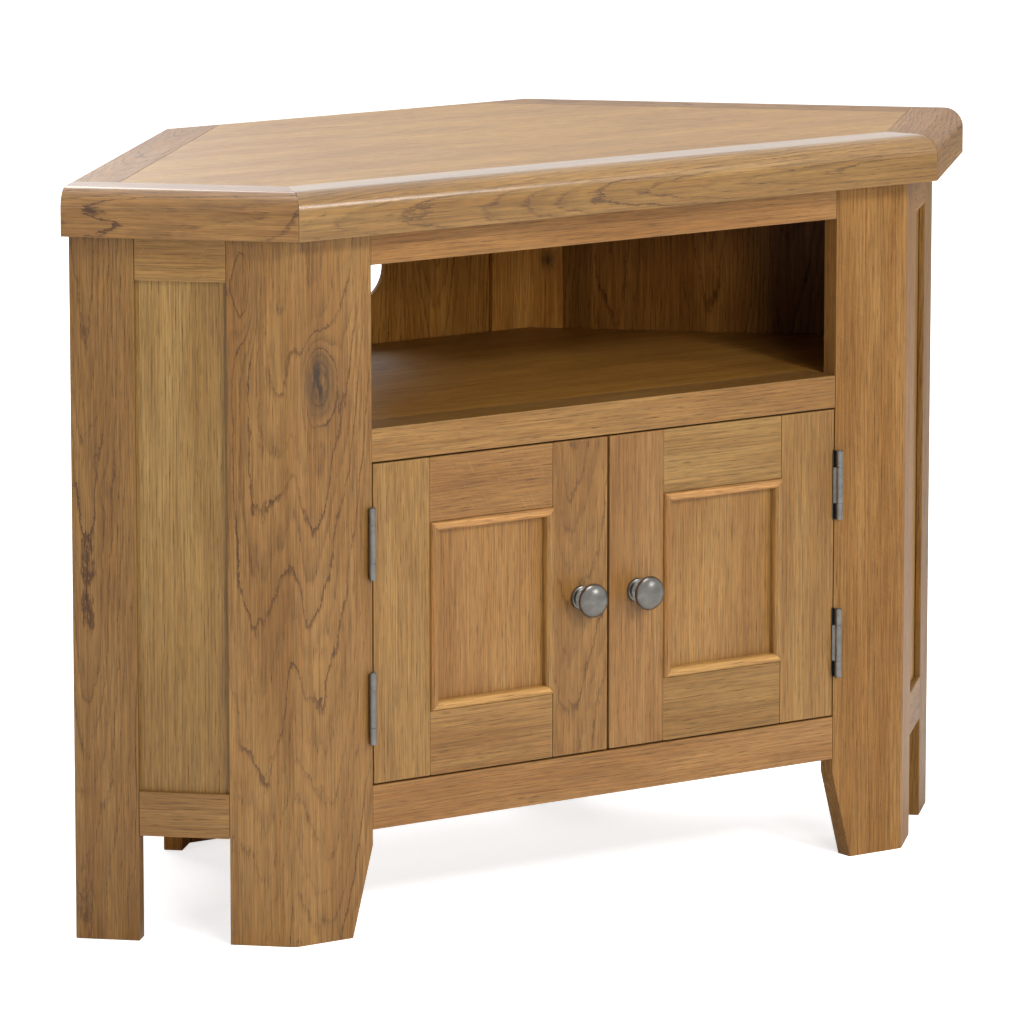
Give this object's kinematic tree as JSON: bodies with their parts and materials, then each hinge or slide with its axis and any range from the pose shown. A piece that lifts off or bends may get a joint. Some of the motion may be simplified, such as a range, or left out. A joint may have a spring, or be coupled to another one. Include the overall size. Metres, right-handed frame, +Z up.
{
  "type": "corner media cabinet",
  "caption": "Oak corner cabinet with a rounded hexagonal top on tapered corner posts, an open media bay with a cable hole, and a panelled two-door cupboard.",
  "frame": {"origin": "on the floor, under the middle of the top", "axes": "+Z up, the doors face -Y, +X to the right as seen from behind the doors' fronts looking along +Y"},
  "size_m": [1, 0.447, 0.674],
  "materials": {
    "oak_top": "satin lacquered oak, grain along each board",
    "oak_frame": "satin lacquered oak, grain along each board",
    "oak_panel": "satin lacquered oak veneer, grain upright",
    "oak_inside": "satin lacquered oak",
    "nickel": "satin nickel",
    "steel": "satin steel",
    "catch_plastic": "brown moulded plastic"
  },
  "bodies": {
    "carcass": {"back_bottom_rail": "oak_frame", "back_leg_left": "oak_frame", "back_leg_right": "oak_frame", "back_panel_centre": "oak_inside", "cupboard_floor": "oak_inside", "front_bottom_rail": "oak_frame", "front_post_left": "oak_frame", "front_post_right": "oak_frame", "front_top_rail": "oak_frame", "hinge_left_lower_frame_leaf": "steel", "hinge_left_lower_pin": "steel", "hinge_left_upper_frame_leaf": "steel", "hinge_left_upper_pin": "steel", "hinge_right_lower_frame_leaf": "steel", "hinge_right_lower_pin": "steel", "hinge_right_upper_frame_leaf": "steel", "hinge_right_upper_pin": "steel", "media_shelf": "oak_inside", "rear_side_post_left": "oak_frame", "rear_side_post_right": "oak_frame", "shelf_front_lipping": "oak_frame", "side_bottom_rail_left": "oak_frame", "side_bottom_rail_right": "oak_frame", "side_panel_left": "oak_panel", "side_panel_right": "oak_panel", "side_top_rail_left": "oak_frame", "side_top_rail_right": "oak_frame", "top_field_board": "oak_top", "top_front_lipping": "oak_top", "top_side_lipping_left": "oak_top", "top_side_lipping_right": "oak_top", "top_wall_strip_left": "oak_top", "top_wall_strip_right": "oak_top", "twin_magnetic_catch": "catch_plastic", "wall_bottom_rail_left": "oak_frame", "wall_bottom_rail_right": "oak_frame", "wall_panel_left": "oak_inside", "wall_panel_right": "oak_inside"},
    "door_left": {"door_left_bead": "oak_frame", "door_left_bottom_rail": "oak_frame", "door_left_inner_stile": "oak_frame", "door_left_knob": "nickel", "door_left_knob_screw": "steel", "door_left_outer_stile": "oak_frame", "door_left_panel": "oak_panel", "door_left_strike_plate": "steel", "door_left_top_rail": "oak_frame", "hinge_left_lower_door_leaf": "steel", "hinge_left_upper_door_leaf": "steel"},
    "door_right": {"door_right_bead": "oak_frame", "door_right_bottom_rail": "oak_frame", "door_right_inner_stile": "oak_frame", "door_right_knob": "nickel", "door_right_knob_screw": "steel", "door_right_outer_stile": "oak_frame", "door_right_panel": "oak_panel", "door_right_strike_plate": "steel", "door_right_top_rail": "oak_frame", "hinge_right_lower_door_leaf": "steel", "hinge_right_upper_door_leaf": "steel"}
  },
  "joints": [
    {"name": "door_left_hinge", "type": "hinge", "parent": "carcass", "child": "door_left", "pos_m": [-0.2592, -0.1992, 0.28], "axis": [0, 0, -1], "range_deg": [0, 170]},
    {"name": "door_right_hinge", "type": "hinge", "parent": "carcass", "child": "door_right", "pos_m": [0.2592, -0.1992, 0.28], "axis": [0, 0, 1], "range_deg": [0, 170]}
  ]
}
